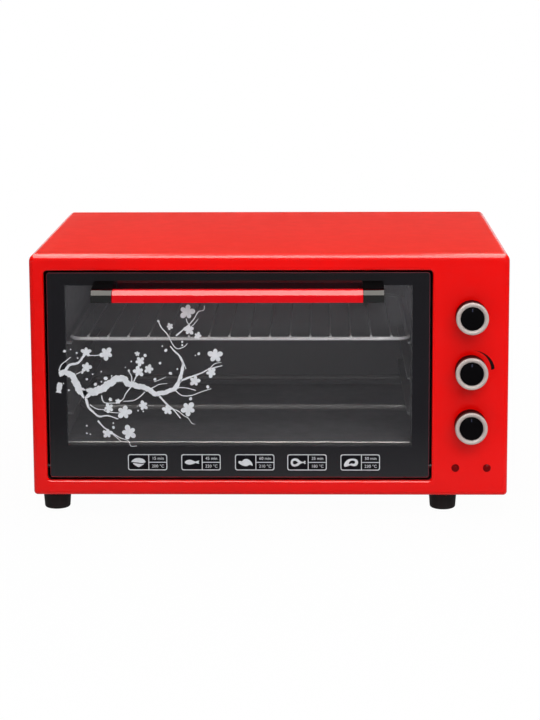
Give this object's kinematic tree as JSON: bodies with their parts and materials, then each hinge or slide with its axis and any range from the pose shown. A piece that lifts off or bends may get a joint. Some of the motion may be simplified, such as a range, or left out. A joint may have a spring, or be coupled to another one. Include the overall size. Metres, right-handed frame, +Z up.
{
  "type": "mini oven",
  "caption": "Countertop electric mini oven with a drop-down glass door, bar handle, wire rack, tubular heaters, a column of turning knobs and moulded feet.",
  "frame": {"origin": "middle of the oven's bounding box in plan, on the surface it stands on", "axes": "+Z up, the door and knobs face -Y, +X to the right as seen from the front"},
  "size_m": [0.55, 0.4334, 0.304],
  "materials": {
    "red_paint": "glossy red enamel paint on pressed steel",
    "dark_steel": "dark satin coating on sheet steel",
    "zinc_steel": "bright zinc-plated sheet steel",
    "enamel": "grey vitreous enamel",
    "heater_steel": "heat-darkened stainless sheath",
    "bright_wire": "bright plated wire",
    "black_glass": "tempered glass printed black round a tinted window",
    "clear_glass": "tempered glass",
    "black_plastic": "glossy black heat-resistant moulding",
    "ring_metal": "satin warm silver trim",
    "foot_rubber": "matt black moulded foot",
    "white_plastic": "off-white heat-resistant moulding",
    "lamp_red": "dark red translucent lens",
    "cable_grey": "glass-fibre sleeve"
  },
  "bodies": {
    "root": {"front_fascia": "red_paint", "outer_cover": "red_paint", "back_panel": "dark_steel", "base_plate": "zinc_steel", "upper_left_back_screw": "zinc_steel", "upper_right_back_screw": "zinc_steel", "lower_left_back_screw": "zinc_steel", "lower_right_back_screw": "zinc_steel", "cord_gland": "black_plastic", "front_left_foot": "foot_rubber", "front_right_foot": "foot_rubber", "rear_left_foot": "foot_rubber", "rear_right_foot": "foot_rubber", "door_recess": "enamel", "cavity_left_wall": "enamel", "cavity_right_wall": "enamel", "cavity_roof": "enamel", "cavity_floor": "enamel", "cavity_back": "enamel", "lower_heater": "heater_steel", "upper_heater": "heater_steel", "left_hinge_bracket": "zinc_steel", "right_hinge_bracket": "zinc_steel", "control_carrier": "zinc_steel", "selector_switch": "black_plastic", "thermostat_switch": "black_plastic", "timer_switch": "black_plastic", "left_indicator_lens": "lamp_red", "right_indicator_lens": "lamp_red", "left_indicator_housing": "white_plastic", "right_indicator_housing": "white_plastic", "heat_shield": "zinc_steel", "thermostat_probe": "heater_steel", "terminal_block": "white_plastic", "wiring_loom": "cable_grey"},
    "door": {"door_outer_glass": "black_glass", "door_inner_frame": "dark_steel", "door_inner_glass": "clear_glass", "handle_bar": "red_paint", "left_handle_bracket": "black_plastic", "right_handle_bracket": "black_plastic", "left_handle_screw": "zinc_steel", "right_handle_screw": "zinc_steel", "left_hinge_pin": "zinc_steel", "right_hinge_pin": "zinc_steel", "left_stay_arm": "zinc_steel", "right_stay_arm": "zinc_steel"},
    "rack": {"wire_rack": "bright_wire"},
    "selector": {"selector_knob": "black_plastic", "selector_knob_ring": "ring_metal", "selector_shaft": "zinc_steel"},
    "thermostat": {"thermostat_knob": "black_plastic", "thermostat_knob_ring": "ring_metal", "thermostat_shaft": "zinc_steel"},
    "timer": {"timer_knob": "black_plastic", "timer_knob_ring": "ring_metal", "timer_shaft": "zinc_steel"}
  },
  "joints": [
    {"name": "door_hinge", "type": "hinge", "parent": "root", "child": "door", "pos_m": [0, -0.16875, 0.0531], "axis": [1, 0, 0], "range_deg": [0, 90]},
    {"name": "rack_slide", "type": "slide", "parent": "root", "child": "rack", "axis": [0, -1, 0], "range_m": [0, 0.013]},
    {"name": "selector_turn", "type": "hinge", "parent": "root", "child": "selector", "pos_m": [0.23125, -0.18175, 0.2332], "axis": [0, 1, 0], "range_deg": [0, 270]},
    {"name": "thermostat_turn", "type": "hinge", "parent": "root", "child": "thermostat", "pos_m": [0.23125, -0.18175, 0.16955], "axis": [0, 1, 0], "range_deg": [0, 290]},
    {"name": "timer_turn", "type": "hinge", "parent": "root", "child": "timer", "pos_m": [0.23125, -0.18175, 0.1059], "axis": [0, 1, 0], "range_deg": [0, 320]}
  ]
}
